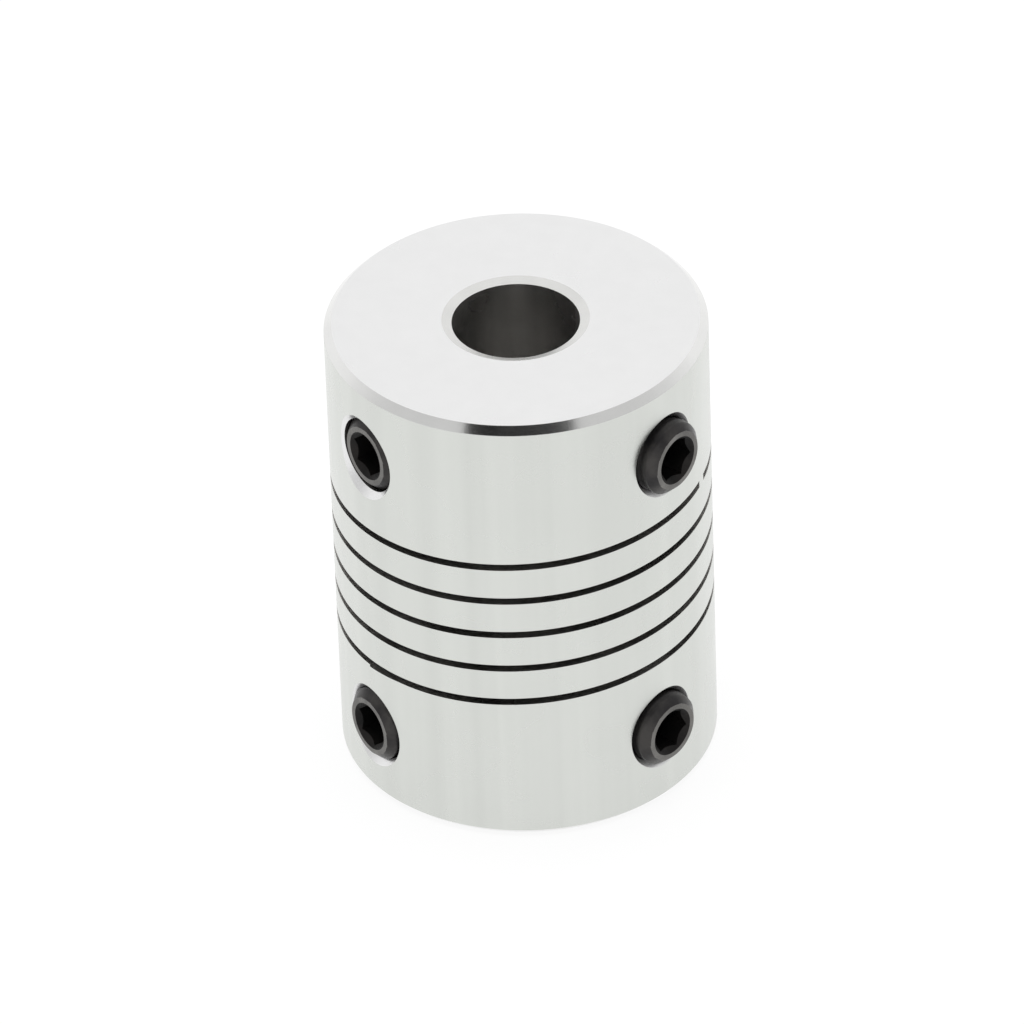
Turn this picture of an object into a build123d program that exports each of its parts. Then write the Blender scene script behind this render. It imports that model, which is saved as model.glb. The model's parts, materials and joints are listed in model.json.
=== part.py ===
from build123d import *
import math
import os

# Helical beam shaft coupling: one turned aluminium cylinder whose middle is cut by a
# single helical slit, with a bore in each end and two radial set screws per hub.
# Millimetres. The axis is Z, the coupling stands on its bottom face at Z = 0.
# Azimuths are in degrees about +Z and are counted from -Y towards +X.

# ---- body -------------------------------------------------------------------------
body_diameter = 19.0
body_length = 25.0
end_chamfer = 0.4

# ---- shaft bores: the top one runs on through the beam to the wider bottom one ------
top_bore_diameter = 6.35
bottom_bore_diameter = 8.0
bore_chamfer = 0.5
bore_step_land = 0.65

# ---- helical slit: single start, right handed, sawn right through the wall ----------
slit_pitch = 2.06
slit_width = 0.38
slit_turns = 4.342
slit_start_azimuth = -56.0
slit_above_middle = 0.13
saw_radius = 10.0
saw_reach_radius = 2.9
runout_sweep = 58.0
cutter_margin = 0.6

# A narrow web is left across the slit where the saw was lifted at its upper end.
web_width = 0.6
web_azimuth_past_end = 0.5

# The saw entered a little low, which leaves a short wider stretch at the lower end.
entry_length = 2.2
entry_drop = 0.13
entry_depth = 1.6

# ---- set screws, M4 x 5 with a 2 mm hexagon socket and a cup point ------------------
screw_diameter = 3.85
screw_length = 5.0
screw_clearance = 0.03
screw_end_chamfer = 0.38
socket_across_flats = 2.0
socket_depth = 2.2
socket_lead_in = 0.14
cup_diameter = 2.0
cup_depth = 0.5
countersink_diameter = 4.6

# Each screw: azimuth, height of its axis above the bottom face or below the top face,
# how far it stands proud of the body, and turn of its socket about its own axis.
top_left_azimuth = -55.2
top_left_inset = 4.25
top_left_proud = -0.2
top_left_socket_turn = 10.0

top_right_azimuth = 48.7
top_right_inset = 4.15
top_right_proud = 0.72
top_right_socket_turn = 20.0

bottom_left_azimuth = -56.2
bottom_left_inset = 4.15
bottom_left_proud = 0.18
bottom_left_socket_turn = 10.0

bottom_right_azimuth = 44.5
bottom_right_inset = 4.5
bottom_right_proud = 0.6
bottom_right_socket_turn = 20.0

body_radius = body_diameter / 2
top_bore_radius = top_bore_diameter / 2
bottom_bore_radius = bottom_bore_diameter / 2
screw_radius = screw_diameter / 2
screw_hole_radius = screw_radius + screw_clearance
slit_start_height = body_length / 2 + slit_above_middle - slit_pitch * slit_turns / 2


def facing(azimuth, height):
    """Frame on the axis at a height, with local +Z pointing out radially."""
    angle = math.radians(azimuth)
    outward = Vector(math.sin(angle), -math.cos(angle), 0)
    tangent = Vector(math.cos(angle), math.sin(angle), 0)
    return Plane(origin=(0, 0, height), x_dir=tangent, z_dir=outward)


def slit_height(azimuth_from_start):
    """Height of the slit's middle, so many degrees after its start."""
    return slit_start_height + slit_pitch * azimuth_from_start / 360


def slit_cutter():
    """Helicoidal slab that the saw removes, with the round run-outs at its two ends."""
    inner = saw_reach_radius - cutter_margin
    outer = body_radius + cutter_margin
    total = 360 * slit_turns + 2 * runout_sweep
    middle = (inner + outer) / 2
    path = Helix(pitch=slit_pitch, height=slit_pitch * total / 360, radius=middle)
    start = path.position_at(0)
    lead = path.tangent_at(0)
    profile = Plane(origin=start, x_dir=(1, 0, 0), z_dir=lead)
    section = profile * Rectangle(outer - inner, slit_width)
    slab = sweep(section, path=path, is_frenet=True)
    # The helix starts on +X, which is azimuth 90.
    turn = slit_start_azimuth - runout_sweep - 90
    slab = Pos(0, 0, slit_height(-runout_sweep)) * Rot(0, 0, turn) * slab

    end_azimuth = slit_start_azimuth + 360 * slit_turns
    slab -= beyond_saw(slit_start_azimuth, slit_height(0), -1)
    slab -= beyond_saw(end_azimuth, slit_height(360 * slit_turns), 1)

    web_half_turn = math.degrees(web_width / 2 / body_radius)
    web_middle = web_azimuth_past_end + web_half_turn
    web_height = slit_height(360 * slit_turns + web_middle)
    web = Box(
        web_width,
        slit_pitch / 2,
        outer + cutter_margin,
        align=(Align.CENTER, Align.CENTER, Align.MIN),
    )
    slab -= facing(end_azimuth + web_middle, web_height) * web
    return slab + entry_slot()


def beyond_saw(azimuth, height, side):
    """Stock past one end of the slit that the round saw never reaches."""
    outer = body_radius + 2 * cutter_margin
    saw_axis = saw_reach_radius + saw_radius
    block = Box(
        outer, slit_pitch * 0.9, 2 * outer, align=(Align.MIN, Align.CENTER, Align.CENTER)
    )
    if side < 0:
        block = mirror(block, about=Plane.YZ)
    saw = Rot(90, 0, 0) * Cylinder(saw_radius, slit_pitch)
    block -= Pos(0, 0, saw_axis) * saw
    return facing(azimuth, height + side * slit_pitch / 8) * block


def entry_slot():
    """Short straight slot that starts low and runs up into the slit."""
    lead_angle = math.degrees(math.atan2(slit_pitch, 2 * math.pi * body_radius))
    dip_angle = math.degrees(math.atan2(entry_drop, entry_length))
    slot = Box(
        entry_length,
        slit_width / 2 + entry_drop,
        entry_depth + cutter_margin,
        align=(Align.MIN, Align.MIN, Align.MIN),
    )
    low_edge = -slit_width / 2 - entry_drop
    floor_radius = body_radius - entry_depth
    slot = Pos(0, low_edge, floor_radius) * Rot(0, 0, lead_angle + dip_angle) * slot
    return facing(slit_start_azimuth, slit_start_height) * slot


def bore_mouth(radius):
    """Chamfer cone for a bore that opens downwards at Z = 0."""
    return Pos(0, 0, -cutter_margin) * Cone(
        radius + bore_chamfer + cutter_margin,
        radius,
        bore_chamfer + cutter_margin,
        align=(Align.CENTER, Align.CENTER, Align.MIN),
    )


def make_screw():
    """Set screw along local +Z: cup point at Z = 0, socket end at the top."""
    cup_radius = cup_diameter / 2
    point_height = screw_radius - cup_radius
    outline = Polyline(
        (0, cup_depth),
        (cup_radius, 0),
        (screw_radius, point_height),
        (screw_radius, screw_length - screw_end_chamfer),
        (screw_radius - screw_end_chamfer, screw_length),
        (0, screw_length),
        close=True,
    )
    blank = revolve(Plane.XZ * make_face(outline), axis=Axis.Z)

    corner_radius = socket_across_flats / math.sqrt(3)
    hexagon = RegularPolygon(radius=corner_radius, side_count=6)
    socket = extrude(hexagon, amount=-socket_depth)
    lead_in = Cone(
        corner_radius - socket_lead_in,
        corner_radius + socket_lead_in,
        2 * socket_lead_in,
        align=(Align.CENTER, Align.CENTER, Align.MAX),
    )
    drill_depth = socket_depth + socket_across_flats / 4
    drill_cone = Cone(
        0.02,
        socket_across_flats / 2,
        socket_across_flats / 4,
        align=(Align.CENTER, Align.CENTER, Align.MIN),
    )
    recess = socket + lead_in + Pos(0, 0, -drill_depth) * drill_cone
    return blank - Pos(0, 0, screw_length) * recess


def screw_hole_cutter(azimuth, height):
    """Tapped radial hole through one wall, with a countersunk mouth."""
    countersink_radius = countersink_diameter / 2
    hole = Cylinder(
        screw_hole_radius,
        body_radius + cutter_margin,
        align=(Align.CENTER, Align.CENTER, Align.MIN),
    )
    mouth = Cone(
        screw_hole_radius,
        countersink_radius + cutter_margin,
        countersink_radius + cutter_margin - screw_hole_radius,
        align=(Align.CENTER, Align.CENTER, Align.MIN),
    )
    mouth_depth = countersink_radius - screw_hole_radius
    return facing(azimuth, height) * (hole + Pos(0, 0, body_radius - mouth_depth) * mouth)


screws = {
    "set_screw_top_left": (
        top_left_azimuth,
        body_length - top_left_inset,
        body_radius + top_left_proud,
        top_left_socket_turn,
    ),
    "set_screw_top_right": (
        top_right_azimuth,
        body_length - top_right_inset,
        body_radius + top_right_proud,
        top_right_socket_turn,
    ),
    "set_screw_bottom_left": (
        bottom_left_azimuth,
        bottom_left_inset,
        body_radius + bottom_left_proud,
        bottom_left_socket_turn,
    ),
    "set_screw_bottom_right": (
        bottom_right_azimuth,
        bottom_right_inset,
        body_radius + bottom_right_proud,
        bottom_right_socket_turn,
    ),
}

# ---- turned blank, slit, then the bores and the tapped holes -------------------------
blank_outline = Polyline(
    (0, 0),
    (body_radius - end_chamfer, 0),
    (body_radius, end_chamfer),
    (body_radius, body_length - end_chamfer),
    (body_radius - end_chamfer, body_length),
    (0, body_length),
    close=True,
)
bore_step_height = slit_height(-runout_sweep) - slit_width / 2 - bore_step_land
through_bore = Cylinder(
    top_bore_radius,
    body_length + 2 * cutter_margin,
    align=(Align.CENTER, Align.CENTER, Align.MIN),
)
wide_bore = Cylinder(
    bottom_bore_radius,
    bore_step_height + cutter_margin,
    align=(Align.CENTER, Align.CENTER, Align.MIN),
)
coupling_body = revolve(Plane.XZ * make_face(blank_outline), axis=Axis.Z)
coupling_body -= slit_cutter()
coupling_body -= Pos(0, 0, -cutter_margin) * through_bore
coupling_body -= Pos(0, 0, -cutter_margin) * wide_bore
coupling_body -= bore_mouth(bottom_bore_radius)
coupling_body -= Pos(0, 0, body_length) * Rot(180, 0, 0) * bore_mouth(top_bore_radius)

for azimuth, height, end_radius, socket_turn in screws.values():
    coupling_body -= screw_hole_cutter(azimuth, height)

os.makedirs("parts", exist_ok=True)
export_step(coupling_body, "parts/coupling_body.step")

for name, (azimuth, height, end_radius, socket_turn) in screws.items():
    seat = Pos(0, 0, end_radius - screw_length) * Rot(0, 0, socket_turn)
    export_step(facing(azimuth, height) * seat * make_screw(), f"parts/{name}.step")
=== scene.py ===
import json
import math

import bmesh
import bpy
from mathutils import Matrix, Vector


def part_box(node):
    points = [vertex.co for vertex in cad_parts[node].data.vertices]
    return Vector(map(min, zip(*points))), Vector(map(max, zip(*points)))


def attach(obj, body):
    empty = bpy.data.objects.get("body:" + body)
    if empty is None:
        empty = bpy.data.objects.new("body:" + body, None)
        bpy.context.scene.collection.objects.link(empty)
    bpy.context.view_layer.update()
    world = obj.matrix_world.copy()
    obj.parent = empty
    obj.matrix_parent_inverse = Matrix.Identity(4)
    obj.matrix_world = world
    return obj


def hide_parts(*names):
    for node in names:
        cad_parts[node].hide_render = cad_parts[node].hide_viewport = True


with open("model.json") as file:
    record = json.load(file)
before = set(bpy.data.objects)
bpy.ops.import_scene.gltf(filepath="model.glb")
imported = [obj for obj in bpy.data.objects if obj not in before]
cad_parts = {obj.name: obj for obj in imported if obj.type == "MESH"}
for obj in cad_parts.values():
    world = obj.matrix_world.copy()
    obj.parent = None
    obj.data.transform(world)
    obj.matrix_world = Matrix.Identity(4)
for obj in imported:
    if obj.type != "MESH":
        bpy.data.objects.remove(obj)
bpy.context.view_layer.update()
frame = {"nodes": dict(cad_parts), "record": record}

# Helical beam coupling with four set screws. Shapes are drawn in millimetres round +Z and
# scaled to metres at the end. Azimuths are in degrees, counted from -Y towards +X.

MM = 0.001
BODY = "coupling_body"
SCREWS = [
    "set_screw_top_left",
    "set_screw_top_right",
    "set_screw_bottom_left",
    "set_screw_bottom_right",
]

# ---- body: overall sizes and bores from the frame, edges chosen here -------------------
low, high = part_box(BODY)
RADIUS = (high[0] - low[0]) / 2 / MM
LENGTH = high[2] / MM
bores = {mount["name"]: mount for mount in frame["record"]["mounts"] if mount["kind"] == "bore"}
TOP_BORE = bores["top_bore"]["dims"]["r_mm"]
BOTTOM_BORE = bores["bottom_bore"]["dims"]["r_mm"]
bottom_length = bores["bottom_bore"]["dims"]["length_mm"]
BORE_STEP = bores["bottom_bore"]["pos_m"][2] / MM + bottom_length / 2
END_CHAMFER = 0.4
MOUTH_WIDTH = 0.5
MOUTH_DEPTH = 0.18
EDGE_ROUND = 0.07
CUT_MARGIN = 0.6

# ---- helical slit, its saw run-outs, the web near its upper end and its low entry -------
SLIT_PITCH = 2.06
SLIT_WIDTH = 0.38
SLIT_TURNS = 4.342
SLIT_SWEEP = 360 * SLIT_TURNS
SLIT_START_AZIMUTH = -56.0
SLIT_ABOVE_MIDDLE = 0.13
SLIT_START_HEIGHT = LENGTH / 2 + SLIT_ABOVE_MIDDLE - SLIT_PITCH * SLIT_TURNS / 2
SAW_RADIUS = 10.0
SAW_REACH = 2.9
SAW_AXIS = SAW_REACH + SAW_RADIUS
WEB_WIDTH = 0.6
WEB_START = 0.5
WEB_SWEEP = math.degrees(WEB_WIDTH / RADIUS)
ENTRY_SWEEP = 13.0
ENTRY_DROP = 0.13
ENTRY_DEPTH = 1.6

# ---- M4 set screws and their holes -----------------------------------------------------
SCREW_RADIUS = 1.925
SCREW_LENGTH = 5.0
SCREW_CHAMFER = 0.38
SCREW_END_RADIUS = SCREW_RADIUS - SCREW_CHAMFER
THREAD_PITCH = 0.7
THREAD_DEPTH = 0.36
SHALLOW_THREAD = 1.3
SHALLOW_SHARE = 0.12
SOCKET_FLATS = 2.0
SOCKET_DEPTH = 2.2
SOCKET_LEAD_IN = 0.12
SOCKET_MOUTH = SOCKET_FLATS / math.sqrt(3) + SOCKET_LEAD_IN
SOCKET_TURN = {"left": 10.0, "right": 20.0}
DRILL_RADIUS = 0.9
DRILL_POINT_DEPTH = 0.5
POINT_RADIUS = 0.02
CUP_RADIUS = 1.0
CUP_DEPTH = 0.5
HOLE_RADIUS = 1.955
HOLE_START = 1.0
COUNTERSINK_RADIUS = 2.3

# ---- mesh steps ------------------------------------------------------------------------
ROUND_STEPS = 256
SLIT_STEP = 360 / 144
RUNOUT_STEPS = 24
ENTRY_STEPS = 8
SCREW_STEPS = 96
CORNER_STEPS = 3
THREAD_STEP = 0.08

# ---- camera, which was fitted to the photograph's outline ------------------------------
CAMERA_ELEVATION = math.radians(36.06)
CAMERA_ROLL = math.radians(-2.065)
CAMERA_DISTANCE = 511.9
CAMERA_LENS = 359.9
CAMERA_LEFT = 0.545
CAMERA_RAISE = 0.527


def around(radius, azimuth, height):
    """Point at an azimuth."""
    angle = math.radians(azimuth)
    return Vector((radius * math.sin(angle), -radius * math.cos(angle), height))


def spun(radius, turn, height):
    """Point after a share of a whole turn from +X."""
    angle = 2 * math.pi * turn
    return Vector((radius * math.cos(angle), radius * math.sin(angle), height))


def outward_frame(azimuth, height):
    """Matrix whose local +Z points out radially and whose local +Y points up."""
    tangent = around(1, azimuth + 90, 0)
    outward = around(1, azimuth, 0)
    turn = Matrix((tangent, Vector((0, 0, 1)), outward)).transposed().to_4x4()
    return Matrix.Translation((0, 0, height)) @ turn


def make_object(name, bm, unit=MM):
    """Object from a bmesh drawn in millimetres."""
    bmesh.ops.scale(bm, vec=(unit, unit, unit), verts=bm.verts)
    mesh = bpy.data.meshes.new(name)
    bm.to_mesh(mesh)
    bm.free()
    obj = bpy.data.objects.new(name, mesh)
    bpy.context.scene.collection.objects.link(obj)
    return obj


def turned_columns(bm, outline, steps):
    """One column of vertices, along an outline of (radius, height), for each step round."""
    return [
        [bm.verts.new(spun(radius, i / steps, z)) for radius, z in outline]
        for i in range(steps)
    ]


def skin(bm, columns, wrap=True, closed=False):
    """Faces between neighbouring columns; wrap joins the last column to the first, and
    closed joins each column's end to its start."""
    following = columns[1:] + columns[:1] if wrap else columns[1:]
    for here, there in zip(columns, following):
        count = min(len(here), len(there))
        for j in range(count if closed else count - 1):
            k = (j + 1) % count
            bm.faces.new((here[j], there[j], there[k], here[k]))


# ---- body ------------------------------------------------------------------------------
def arc_corner(before, corner, after, radius):
    """Points that round off one corner of an outline."""
    corner = Vector(corner)
    to_before = (Vector(before) - corner).normalized()
    to_after = (Vector(after) - corner).normalized()
    half = to_before.angle(to_after) / 2
    reach = radius / math.tan(half)
    middle = corner + (to_before + to_after).normalized() * radius / math.sin(half)
    start = (corner + to_before * reach - middle).normalized()
    end = (corner + to_after * reach - middle).normalized()
    return [
        middle + start.slerp(end, i / CORNER_STEPS) * radius for i in range(CORNER_STEPS + 1)
    ]


def rounded_outline(corners):
    """Closed outline of (radius, height) points; a third value rounds that corner."""
    points = []
    for i, corner in enumerate(corners):
        if len(corner) == 3:
            before = corners[i - 1][:2]
            after = corners[(i + 1) % len(corners)][:2]
            points += arc_corner(before, corner[:2], after, corner[2])
        else:
            points.append(Vector(corner))
    return points


def body_blank():
    """Turned tube with its stepped bore and softened chamfers."""
    outline = rounded_outline([
        (BOTTOM_BORE, MOUTH_DEPTH),
        (BOTTOM_BORE + MOUTH_WIDTH, 0, EDGE_ROUND),
        (RADIUS - END_CHAMFER, 0, EDGE_ROUND),
        (RADIUS, END_CHAMFER, EDGE_ROUND),
        (RADIUS, LENGTH - END_CHAMFER, EDGE_ROUND),
        (RADIUS - END_CHAMFER, LENGTH, EDGE_ROUND),
        (TOP_BORE + MOUTH_WIDTH, LENGTH, EDGE_ROUND),
        (TOP_BORE, LENGTH - MOUTH_DEPTH),
        (TOP_BORE, BORE_STEP),
        (BOTTOM_BORE, BORE_STEP),
    ])
    bm = bmesh.new()
    skin(bm, turned_columns(bm, outline, ROUND_STEPS), closed=True)
    bmesh.ops.recalc_face_normals(bm, faces=bm.faces)
    return bm


def slit_height(from_start):
    """Height of the slit's middle, so many degrees after its start."""
    return SLIT_START_HEIGHT + SLIT_PITCH * from_start / 360


def saw_floor(past_end):
    """Radius that the round saw reached, so many degrees past an end of the slit."""
    angle = math.radians(past_end)
    root = SAW_RADIUS ** 2 - (SAW_AXIS * math.sin(angle)) ** 2
    return SAW_AXIS * math.cos(angle) - math.sqrt(max(root, 0.0))


def slab(stations):
    """Slit cutter through stations of (degrees from start, inner radius, drop)."""
    outer = RADIUS + CUT_MARGIN
    bm = bmesh.new()
    rings = []
    for from_start, inner, drop in stations:
        azimuth = SLIT_START_AZIMUTH + from_start
        top = slit_height(from_start) + SLIT_WIDTH / 2
        bottom = slit_height(from_start) - SLIT_WIDTH / 2 - drop
        corners = [(inner, bottom), (outer, bottom), (outer, top), (inner, top)]
        rings.append([bm.verts.new(around(radius, azimuth, z)) for radius, z in corners])
    skin(bm, rings, wrap=False, closed=True)
    bm.faces.new(rings[0])
    bm.faces.new(reversed(rings[-1]))
    bmesh.ops.recalc_face_normals(bm, faces=bm.faces)
    return bm


def slit_slabs():
    """Slit with its lower run-out, run-out past the web, and the low entry."""
    runout_cosine = (RADIUS ** 2 + SAW_AXIS ** 2 - SAW_RADIUS ** 2) / (2 * RADIUS * SAW_AXIS)
    runout_sweep = math.degrees(math.acos(runout_cosine))
    count = int(SLIT_SWEEP / SLIT_STEP)
    main = []
    for i in range(RUNOUT_STEPS):
        past = runout_sweep * (1 - i / RUNOUT_STEPS)
        main.append((-past, saw_floor(past), 0.0))
    for i in range(count + 1):
        main.append((SLIT_SWEEP * i / count, SAW_REACH, 0.0))
    main.append((SLIT_SWEEP + WEB_START, SAW_REACH, 0.0))

    web_end = WEB_START + WEB_SWEEP
    upper = []
    for i in range(RUNOUT_STEPS + 1):
        past = web_end + (runout_sweep - web_end) * i / RUNOUT_STEPS
        upper.append((SLIT_SWEEP + past, saw_floor(past), 0.0))

    entry = []
    for i in range(ENTRY_STEPS + 1):
        share = i / ENTRY_STEPS
        entry.append((ENTRY_SWEEP * share, RADIUS - ENTRY_DEPTH, ENTRY_DROP * (1 - share)))
    return [slab(main), slab(upper), slab(entry)]


def hole_cutter(azimuth, height):
    """Tapped hole and its countersunk mouth, out through one wall."""
    outline = [
        (HOLE_RADIUS, HOLE_START),
        (HOLE_RADIUS, RADIUS - (COUNTERSINK_RADIUS - HOLE_RADIUS)),
        (COUNTERSINK_RADIUS + CUT_MARGIN, RADIUS + CUT_MARGIN),
    ]
    bm = bmesh.new()
    columns = turned_columns(bm, outline, SCREW_STEPS)
    skin(bm, columns)
    bm.faces.new([column[0] for column in columns])
    bm.faces.new([column[-1] for column in columns])
    bmesh.ops.recalc_face_normals(bm, faces=bm.faces)
    bmesh.ops.transform(bm, matrix=outward_frame(azimuth, height), verts=bm.verts)
    return bm


def cut(target, cutters):
    """Cuts the objects out of the target, in order, and removes them."""
    for cutter in cutters:
        modifier = target.modifiers.new("cut", "BOOLEAN")
        modifier.operation = "DIFFERENCE"
        modifier.solver = "EXACT"
        modifier.object = cutter
    evaluated = target.evaluated_get(bpy.context.evaluated_depsgraph_get())
    mesh = bpy.data.meshes.new_from_object(evaluated)
    target.modifiers.clear()
    target.data = mesh
    for cutter in cutters:
        bpy.data.objects.remove(cutter)


# ---- shading of the cut body, from the surfaces' own directions -------------------------
SAME_WAY = 0.98
SAME_WAY_IN_HOLE = 0.97
ON_WALL = 0.02
ON_PLANE = 0.01
PAST_COUNTERSINK = 0.1
CLEAR_OF_ENDS = 0.6
SMALLEST_RADIUS = 0.1
SMALLEST_LEVEL_PART = 0.1


def hole_normal(point, flat, places):
    """Direction of a screw hole's wall or countersink at a corner, or None elsewhere."""
    for azimuth, height, end in places.values():
        axis = around(1, azimuth, 0)
        arm = point - Vector((0, 0, height))
        off_axis = arm - axis * arm.dot(axis)
        if arm.dot(axis) <= 0 or off_axis.length > COUNTERSINK_RADIUS + PAST_COUNTERSINK:
            continue
        inward = -off_axis.normalized()
        for normal in (inward, (inward + axis).normalized()):
            if flat.dot(normal) > SAME_WAY_IN_HOLE:
                return normal
    return None


def slit_normal(point, flat):
    """Direction of the slit's upper or lower wall at a corner."""
    angle = math.atan2(point.x, -point.y)
    radius = max(math.hypot(point.x, point.y), SMALLEST_RADIUS)
    tangent = Vector((math.cos(angle), math.sin(angle), 0))
    climb = SLIT_PITCH / (2 * math.pi) / radius
    normal = (Vector((0, 0, 1)) - tangent * climb).normalized()
    return normal if flat.z > 0 else -normal


def wall_normal(point, flat, places):
    """Exact direction of the turned, sawn or drilled surface that a corner is on."""
    radial = Vector((point.x, point.y, 0))
    radius = radial.length
    radial.normalize()
    outward = flat.dot(radial)
    if outward > SAME_WAY and abs(radius - RADIUS) < ON_WALL:
        return radial
    if outward < -SAME_WAY and min(abs(radius - TOP_BORE), abs(radius - BOTTOM_BORE)) < ON_WALL:
        return -radial
    in_hole = hole_normal(point, flat, places)
    if in_hole is not None:
        return in_hole
    inside = CLEAR_OF_ENDS < point.z < LENGTH - CLEAR_OF_ENDS
    if abs(flat.z) > SAME_WAY and inside and abs(point.z - BORE_STEP) > ON_PLANE:
        return slit_normal(point, flat)
    level = Vector((flat.x, flat.y, 0))
    if level.length > SMALLEST_LEVEL_PART and abs(level.normalized().dot(radial)) > SAME_WAY:
        side = math.copysign(level.length, level.dot(radial))
        return (radial * side + Vector((0, 0, flat.z))).normalized()
    return flat


def shade_exactly(obj, places):
    """Smooth shading from the surfaces' own directions."""
    mesh = obj.data
    normals = []
    for polygon in mesh.polygons:
        polygon.use_smooth = True
        flat = polygon.normal.copy()
        for vertex in polygon.vertices:
            normals.append(wall_normal(mesh.vertices[vertex].co, flat, places))
    mesh.normals_split_custom_set(normals)


# ---- set screws ------------------------------------------------------------------------
def screw_places():
    """(azimuth, height, radial distance of the socket end) of each set screw."""
    places = {}
    for name in SCREWS:
        node = frame["nodes"][name]
        points = [node.matrix_world @ v.co / MM for v in node.data.vertices]
        heights = [point.z for point in points]
        body = name.replace("set_screw_", "") + "_screw"
        joints = frame["record"]["behaviour"]["joints"]
        joint = next(joint for joint in joints if joint["child"] == body)
        axis = Vector(joint["axis"]).normalized()
        azimuth = math.degrees(math.atan2(axis.x, -axis.y))
        end = max(point.dot(axis) for point in points)
        places[name] = (azimuth, (min(heights) + max(heights)) / 2, end)
    return places


def thread_profile():
    """(share of the pitch, depth) points of one thread, starting at its crest."""
    corners = [(0.0, 0.0), (0.1, 0.0), (0.44, 1.0), (0.58, 1.0), (1.0, 0.0)]
    profile = []
    for (share, depth), (next_share, next_depth) in zip(corners, corners[1:]):
        count = max(1, round((next_share - share) / THREAD_STEP))
        for i in range(count):
            along = i / count
            profile.append((
                share + (next_share - share) * along,
                THREAD_DEPTH * (depth + (next_depth - depth) * along),
            ))
    return profile


def thread_radius(z, depth):
    """Radius at a height, where the thread fades out near the socket end."""
    cone = min(CUP_RADIUS + z, SCREW_END_RADIUS + SCREW_LENGTH - z)
    strength = (SCREW_LENGTH - SHALLOW_THREAD - z) / THREAD_PITCH
    return min(SCREW_RADIUS - depth * min(max(strength, SHALLOW_SHARE), 1.0), cone)


def add_thread(bm):
    """Threaded outside of the screw, whose turns climb one pitch all the way round."""
    profile = thread_profile()
    turns = int(SCREW_LENGTH / THREAD_PITCH) + 3
    columns = []
    for i in range(SCREW_STEPS):
        column = []
        for turn in range(-1, turns):
            for share, depth in profile:
                z = THREAD_PITCH * (turn + share + i / SCREW_STEPS)
                z = min(max(z, 0.0), SCREW_LENGTH)
                column.append(bm.verts.new(spun(thread_radius(z, depth), i / SCREW_STEPS, z)))
        columns.append(column)
    one_turn_up = columns[0][len(profile):]
    skin(bm, columns + [one_turn_up], wrap=False)


def add_socket(bm):
    """End ring and hexagon socket with its lead-in and drill point."""
    floor_z = SCREW_LENGTH - SOCKET_DEPTH
    sixth = math.pi / 3
    columns = []
    for i in range(SCREW_STEPS):
        angle = 2 * math.pi * i / SCREW_STEPS
        hexagon = SOCKET_FLATS / 2 / math.cos((angle + sixth / 2) % sixth - sixth / 2)
        outline = [
            (SCREW_END_RADIUS, SCREW_LENGTH),
            (SOCKET_MOUTH, SCREW_LENGTH),
            (hexagon, SCREW_LENGTH - (SOCKET_MOUTH - hexagon)),
            (hexagon, floor_z),
            (DRILL_RADIUS, floor_z),
            (POINT_RADIUS, floor_z - DRILL_POINT_DEPTH),
        ]
        columns.append([bm.verts.new(spun(radius, i / SCREW_STEPS, z)) for radius, z in outline])
    skin(bm, columns)
    bm.faces.new([column[-1] for column in columns])


def add_cup(bm):
    """Hollow of the cup point."""
    columns = turned_columns(bm, [(CUP_RADIUS, 0.0), (POINT_RADIUS, CUP_DEPTH)], SCREW_STEPS)
    skin(bm, columns)
    bm.faces.new([column[-1] for column in columns])


def screw_skin():
    """Set screw along +Z: cup point at 0, socket end at the top."""
    bm = bmesh.new()
    add_thread(bm)
    add_socket(bm)
    add_cup(bm)
    bmesh.ops.remove_doubles(bm, verts=bm.verts, dist=1e-4)
    bmesh.ops.dissolve_degenerate(bm, edges=bm.edges, dist=1e-5)
    bmesh.ops.recalc_face_normals(bm, faces=bm.faces)
    return bm


# ---- materials: noise scales are per metre ----------------------------------------------
STREAK_SCALE = (900, 900, 12)
MOTTLE_SCALE = (260, 260, 260)
STREAK_SHARE = 0.6
PATCH_SCALE = 900
GRAIN_SCALE = 9000
LATHE_BUMP = 0.02 * MM
GRAIN_BUMP = 0.01 * MM


def new_material(name):
    material = bpy.data.materials.new(name)
    material.use_nodes = True
    return material, material.node_tree


def add_math(tree, operation, first, second):
    """Math node on sockets or plain numbers; returns its output."""
    node = tree.nodes.new("ShaderNodeMath")
    node.operation = operation
    for socket, value in ((node.inputs[0], first), (node.inputs[1], second)):
        if isinstance(value, (int, float)):
            socket.default_value = value
        else:
            tree.links.new(value, socket)
    return node.outputs[0]


def add_noise(tree, vector, scale, detail):
    """Noise texture; returns its factor."""
    node = tree.nodes.new("ShaderNodeTexNoise")
    node.inputs["Scale"].default_value = scale
    node.inputs["Detail"].default_value = detail
    node.inputs["Roughness"].default_value = 0.5
    tree.links.new(vector, node.inputs["Vector"])
    return node.outputs["Fac"]


def add_range(tree, value, from_low, from_high, to_low, to_high):
    """Map Range node; returns its result."""
    node = tree.nodes.new("ShaderNodeMapRange")
    node.inputs["From Min"].default_value = from_low
    node.inputs["From Max"].default_value = from_high
    node.inputs["To Min"].default_value = to_low
    node.inputs["To Max"].default_value = to_high
    tree.links.new(value, node.inputs["Value"])
    return node.outputs["Result"]


def add_color(tree, value, dark, light):
    """Blend of two colours by a factor; returns the colour."""
    node = tree.nodes.new("ShaderNodeMix")
    node.data_type = "RGBA"
    node.inputs["A"].default_value = (*dark, 1)
    node.inputs["B"].default_value = (*light, 1)
    tree.links.new(value, node.inputs["Factor"])
    return node.outputs["Result"]


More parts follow.
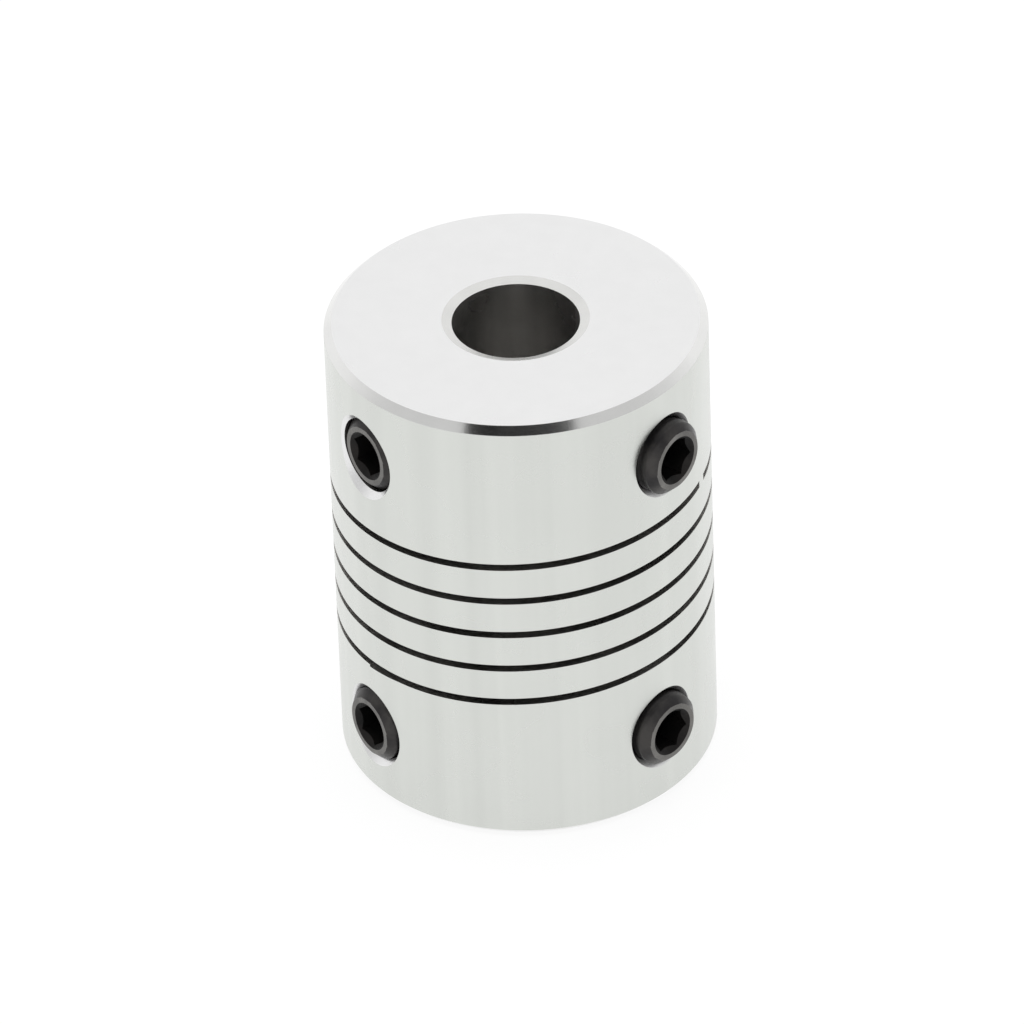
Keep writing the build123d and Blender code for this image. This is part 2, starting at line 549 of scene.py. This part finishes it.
def add_bump(tree, height, strength, distance):
    """Bump on the material's own shader."""
    bump = tree.nodes.new("ShaderNodeBump")
    bump.inputs["Strength"].default_value = strength
    bump.inputs["Distance"].default_value = distance
    tree.links.new(height, bump.inputs["Height"])
    tree.links.new(bump.outputs["Normal"], tree.nodes["Principled BSDF"].inputs["Normal"])


def stretched(tree, scale):
    """Object coordinates times a scale for each axis."""
    place = tree.nodes.new("ShaderNodeTexCoord")
    mapping = tree.nodes.new("ShaderNodeMapping")
    mapping.inputs["Scale"].default_value = scale
    tree.links.new(place.outputs["Object"], mapping.inputs["Vector"])
    return mapping.outputs["Vector"]


def aluminium(name, color, roughness, variation, groove, groove_scale):
    """Turned aluminium: fine lathe lines, faint lengthwise streaks and mottling."""
    material, tree = new_material(name)
    shader = tree.nodes["Principled BSDF"]
    shader.inputs["Metallic"].default_value = 1.0
    streaks = add_noise(tree, stretched(tree, STREAK_SCALE), 1.0, 2.0)
    mottle = add_noise(tree, stretched(tree, MOTTLE_SCALE), 1.0, 4.0)
    streak_part = add_math(tree, "MULTIPLY", streaks, STREAK_SHARE)
    mottle_part = add_math(tree, "MULTIPLY", mottle, 1 - STREAK_SHARE)
    blend = add_math(tree, "ADD", streak_part, mottle_part)
    shade = add_range(tree, blend, 0.35, 0.65, 0.0, 1.0)
    dark = [channel * (1 - variation) for channel in color]
    light = [channel * (1 + variation / 2) for channel in color]
    tree.links.new(add_color(tree, shade, dark, light), shader.inputs["Base Color"])
    tree.links.new(
        add_range(tree, mottle, 0.3, 0.7, roughness - 0.04, roughness + 0.05),
        shader.inputs["Roughness"],
    )
    lines = add_noise(tree, stretched(tree, groove_scale), 1.0, 2.0)
    add_bump(tree, lines, groove, LATHE_BUMP)
    return material


def black_oxide(name, dark, light, roughness):
    """Black oxide steel, a little uneven and dusty."""
    material, tree = new_material(name)
    shader = tree.nodes["Principled BSDF"]
    shader.inputs["Metallic"].default_value = 0.85
    place = stretched(tree, (1, 1, 1))
    patches = add_noise(tree, place, PATCH_SCALE, 4.0)
    grain = add_noise(tree, place, GRAIN_SCALE, 2.0)
    shade = add_range(tree, patches, 0.35, 0.65, 0.0, 1.0)
    tree.links.new(add_color(tree, shade, dark, light), shader.inputs["Base Color"])
    tree.links.new(
        add_range(tree, grain, 0.3, 0.7, roughness - 0.06, roughness + 0.1),
        shader.inputs["Roughness"],
    )
    add_bump(tree, grain, 0.3, GRAIN_BUMP)
    return material


# ---- making the body -------------------------------------------------------------------
SIDE, FACE, EDGE, INSIDE, MOUTH = range(5)
SKIN_DEPTH = 0.4
FACES_OUT = 0.9
LATHE_LINES = (40, 40, 7000)
DRILL_LINES = (60, 60, 6000)
FINE_GRAIN = (700, 700, 700)


def body_metals():
    """The body's materials, in the order of the indices above; side and face are shaded and lit
    copies of one aluminium.
    """
    return [
        # painted shade: the side's colour is darker than the face's, a shaded copy of the same
        # turned aluminium
        aluminium("aluminium_side_painted_shade", (0.682, 0.698, 0.668), 0.27, 0.045, 0.05, LATHE_LINES),
        # painted light: the face's colour is brighter than the side's, a lit copy of the same
        # turned aluminium that the countersinks share
        aluminium("aluminium_face_painted_light", (0.835, 0.835, 0.835), 0.3, 0.015, 0.1, FINE_GRAIN),
        aluminium("turned_aluminium_edge", (0.80, 0.80, 0.79), 0.14, 0.03, 0.1, LATHE_LINES),
        aluminium("drilled_aluminium", (0.71, 0.70, 0.685), 0.3, 0.12, 0.4, DRILL_LINES),
        aluminium("bore_mouth_aluminium", (0.73, 0.73, 0.715), 0.25, 0.04, 0.3, DRILL_LINES),
    ]


def body_metal_index(polygon):
    """Material of a face; the countersinks get the end faces' brighter copy, as a painted
    highlight.
    """
    middle = polygon.center
    radius = math.hypot(middle.x, middle.y)
    end_distance = min(middle.z, LENGTH - middle.z)
    # end faces take the brighter lit copy: painted light
    if end_distance < ON_PLANE:
        return FACE
    if radius > RADIUS - END_CHAMFER and end_distance < END_CHAMFER - ON_PLANE:
        return EDGE
    if end_distance < MOUTH_DEPTH:
        return MOUTH
    if radius < RADIUS - SKIN_DEPTH:
        return INSIDE
    outward = Vector((middle.x, middle.y, 0)) / radius
    # countersinks and other faces near the skin that don't face out take the brighter lit copy:
    # painted highlight
    if polygon.normal.dot(outward) < FACES_OUT:
        return FACE
    return SIDE


def make_body(places):
    body = make_object("turned_body", body_blank(), 1.0)
    cutters = [make_object("slab", bm, 1.0) for bm in slit_slabs()]
    for azimuth, height, end in places.values():
        cutters.append(make_object("hole", hole_cutter(azimuth, height), 1.0))
    cut(body, cutters)
    shade_exactly(body, places)
    body.data.materials.clear()
    for material in body_metals():
        body.data.materials.append(material)
    for polygon in body.data.polygons:
        polygon.material_index = body_metal_index(polygon)
    body.data.transform(Matrix.Scale(MM, 4))
    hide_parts(BODY)
    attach(body, "coupling")


# ---- making the set screws -------------------------------------------------------------
THREAD, RING, SOCKET = range(3)
SMOOTH_BELOW = math.radians(32)


def screw_metals():
    """The screws' materials, in the order of the indices above; the end ring's lighter colour is
    a painted reflection, the socket's near-black a painted shade.
    """
    return [
        black_oxide("black_oxide_thread", (0.026, 0.025, 0.026), (0.055, 0.052, 0.05), 0.34),
        # painted reflection: the end ring is much lighter than the thread, standing in for the
        # floor's reflection in it
        black_oxide("black_oxide_end_painted_reflection", (0.11, 0.107, 0.102), (0.17, 0.165, 0.157), 0.3),
        # painted shade: the socket is darker than the thread, standing in for the shade in the
        # recess
        black_oxide("black_oxide_socket_painted_shade", (0.01, 0.01, 0.01), (0.022, 0.02, 0.019), 0.5),
    ]


def screw_metal_index(face):
    middle = face.calc_center_median()
    # the socket takes the near-black colour of painted shade
    if math.hypot(middle.x, middle.y) < SOCKET_MOUTH and middle.z > CUP_DEPTH:
        return SOCKET
    # the end ring takes the lighter colour of a painted reflection
    if middle.z > SCREW_LENGTH - ON_PLANE:
        return RING
    return THREAD


def make_screw(name, place, metals):
    azimuth, height, end = place
    bm = screw_skin()
    for face in bm.faces:
        face.material_index = screw_metal_index(face)
    seat = outward_frame(azimuth, height) @ Matrix.Translation((0, 0, end - SCREW_LENGTH))
    turn = SOCKET_TURN["left" if name.endswith("left") else "right"]
    seat = seat @ Matrix.Rotation(math.radians(turn), 4, "Z")
    bmesh.ops.transform(bm, matrix=seat, verts=bm.verts)
    screw = make_object(name.replace("set_", "threaded_"), bm)
    for material in metals:
        screw.data.materials.append(material)
    for polygon in screw.data.polygons:
        polygon.use_smooth = True
    screw.data.set_sharp_from_angle(angle=SMOOTH_BELOW)
    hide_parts(name)
    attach(screw, name.replace("set_screw_", "") + "_screw")


# ---- studio ----------------------------------------------------------------------------
FLOOR_HALF = 3000
FLOOR_GREY = 0.9
FLOOR_GLOW = 0.86
LAMP_SIZE = 0.5
LAMP_POWER = 2.0
LAMP_PLACE = (0.0, 0.05, 0.6)
CARD_ELEVATION = math.radians(53)
CARD_DISTANCE = 400
CARD_HALF_WIDTH = 172
CARD_HALF_HEIGHT = 62
ARC_DISTANCE = 600
ARC_HALF_SWEEP = 72
ARC_STEPS = 48
ARC_TILTS = (math.radians(33), math.radians(57))


def make_world():
    world = bpy.data.worlds.new("studio")
    world.use_nodes = True
    background = world.node_tree.nodes["Background"]
    background.inputs["Color"].default_value = (1, 1, 1, 1)
    background.inputs["Strength"].default_value = 1.0
    bpy.context.scene.world = world


def make_lamp():
    lamp = bpy.data.lights.new("overhead", "AREA")
    lamp.shape = "RECTANGLE"
    lamp.size = LAMP_SIZE
    lamp.size_y = LAMP_SIZE
    lamp.energy = LAMP_POWER
    overhead = bpy.data.objects.new("overhead", lamp)
    overhead.location = LAMP_PLACE
    overhead.visible_glossy = False
    bpy.context.scene.collection.objects.link(overhead)


def make_floor():
    """Pale floor that is near white to the camera and in the metal, and keeps the shadow."""
    bm = bmesh.new()
    bmesh.ops.create_grid(bm, x_segments=1, y_segments=1, size=FLOOR_HALF)
    floor = make_object("floor", bm)
    paper, tree = new_material("white_floor")
    shader = tree.nodes["Principled BSDF"]
    shader.inputs["Base Color"].default_value = (FLOOR_GREY, FLOOR_GREY, FLOOR_GREY, 1)
    shader.inputs["Roughness"].default_value = 0.9
    glow = tree.nodes.new("ShaderNodeEmission")
    glow.inputs["Strength"].default_value = 1.0
    seen = tree.nodes.new("ShaderNodeLightPath").outputs
    direct = add_math(tree, "MAXIMUM", seen["Is Camera Ray"], seen["Is Glossy Ray"])
    direct = add_math(tree, "MAXIMUM", direct, seen["Is Transmission Ray"])
    mix = tree.nodes.new("ShaderNodeMixShader")
    tree.links.new(add_math(tree, "MULTIPLY", direct, FLOOR_GLOW), mix.inputs["Fac"])
    tree.links.new(shader.outputs[0], mix.inputs[1])
    tree.links.new(glow.outputs[0], mix.inputs[2])
    tree.links.new(mix.outputs[0], tree.nodes["Material Output"].inputs["Surface"])
    floor.data.materials.append(paper)


def make_card(name, bm, material):
    """Studio card that shows in the metal's reflections and nowhere else."""
    card = make_object(name, bm)
    card.visible_camera = False
    card.visible_shadow = False
    card.visible_diffuse = False
    card.data.materials.append(material)


def make_dark_card():
    """Dark card above the camera, seen in the polished front of the upper chamfer."""
    bm = bmesh.new()
    bmesh.ops.create_grid(bm, x_segments=1, y_segments=1, size=1)
    bmesh.ops.scale(bm, vec=(CARD_HALF_WIDTH, CARD_HALF_HEIGHT, 1), verts=bm.verts)
    rise = CARD_DISTANCE * math.sin(CARD_ELEVATION)
    place = around(CARD_DISTANCE * math.cos(CARD_ELEVATION), 0, rise + LENGTH)
    turn = Matrix.Rotation(math.pi / 2 - CARD_ELEVATION, 4, "X")
    bmesh.ops.transform(bm, matrix=Matrix.Translation(place) @ turn, verts=bm.verts)
    felt, tree = new_material("dark_felt")
    shader = tree.nodes["Principled BSDF"]
    shader.inputs["Base Color"].default_value = (0.02, 0.02, 0.02, 1)
    shader.inputs["Roughness"].default_value = 1.0
    shader.inputs["Specular IOR Level"].default_value = 0.0
    make_card("dark_card", bm, felt)


def make_grey_arc(back):
    """Grey arc that shows in the rest of the chamfer's front, and fades out to its ends."""
    bm = bmesh.new()
    edges = []
    for i in range(ARC_STEPS + 1):
        azimuth = ARC_HALF_SWEEP * (2 * i / ARC_STEPS - 1)
        edge = []
        for tilt in ARC_TILTS:
            normal = around(math.cos(tilt), azimuth, math.sin(tilt))
            mirrored = 2 * normal.dot(back) * normal - back
            edge.append(bm.verts.new(mirrored * ARC_DISTANCE + Vector((0, 0, LENGTH))))
        edges.append(edge)
    skin(bm, edges, wrap=False)
    paint, tree = new_material("grey_card")
    place = tree.nodes.new("ShaderNodeSeparateXYZ")
    tree.links.new(stretched(tree, (1, 1, 1)), place.inputs[0])
    glow = tree.nodes.new("ShaderNodeEmission")
    fade = add_range(tree, place.outputs["Y"], -0.04, 0.27, 0.7, 1.0)
    tree.links.new(fade, glow.inputs["Strength"])
    tree.links.new(glow.outputs[0], tree.nodes["Material Output"].inputs["Surface"])
    make_card("grey_arc", bm, paint)


def make_camera():
    """Camera at the photograph's angle; returns the direction from the part to it."""
    back = around(math.cos(CAMERA_ELEVATION), 0, math.sin(CAMERA_ELEVATION))
    level_right = Vector((1, 0, 0))
    level_up = Vector((0, math.sin(CAMERA_ELEVATION), math.cos(CAMERA_ELEVATION)))
    right = level_right * math.cos(CAMERA_ROLL) + level_up * math.sin(CAMERA_ROLL)
    up = level_up * math.cos(CAMERA_ROLL) - level_right * math.sin(CAMERA_ROLL)
    lens = bpy.data.cameras.new("camera")
    lens.sensor_width = 36.0
    lens.lens = CAMERA_LENS
    lens.clip_start = 0.01
    lens.clip_end = 20
    camera = bpy.data.objects.new("camera", lens)
    middle = Vector((0, 0, LENGTH / 2))
    place = middle + back * CAMERA_DISTANCE - right * CAMERA_LEFT + up * CAMERA_RAISE
    turn = Matrix((right, up, back)).transposed().to_4x4()
    camera.matrix_world = Matrix.Translation(place * MM) @ turn
    bpy.context.scene.collection.objects.link(camera)
    bpy.context.scene.camera = camera
    return back


places = screw_places()
make_body(places)
metals = screw_metals()
for name in SCREWS:
    make_screw(name, places[name], metals)

bpy.context.scene.view_settings.view_transform = "Standard"
make_world()
make_lamp()
make_floor()
make_dark_card()
make_grey_arc(make_camera())
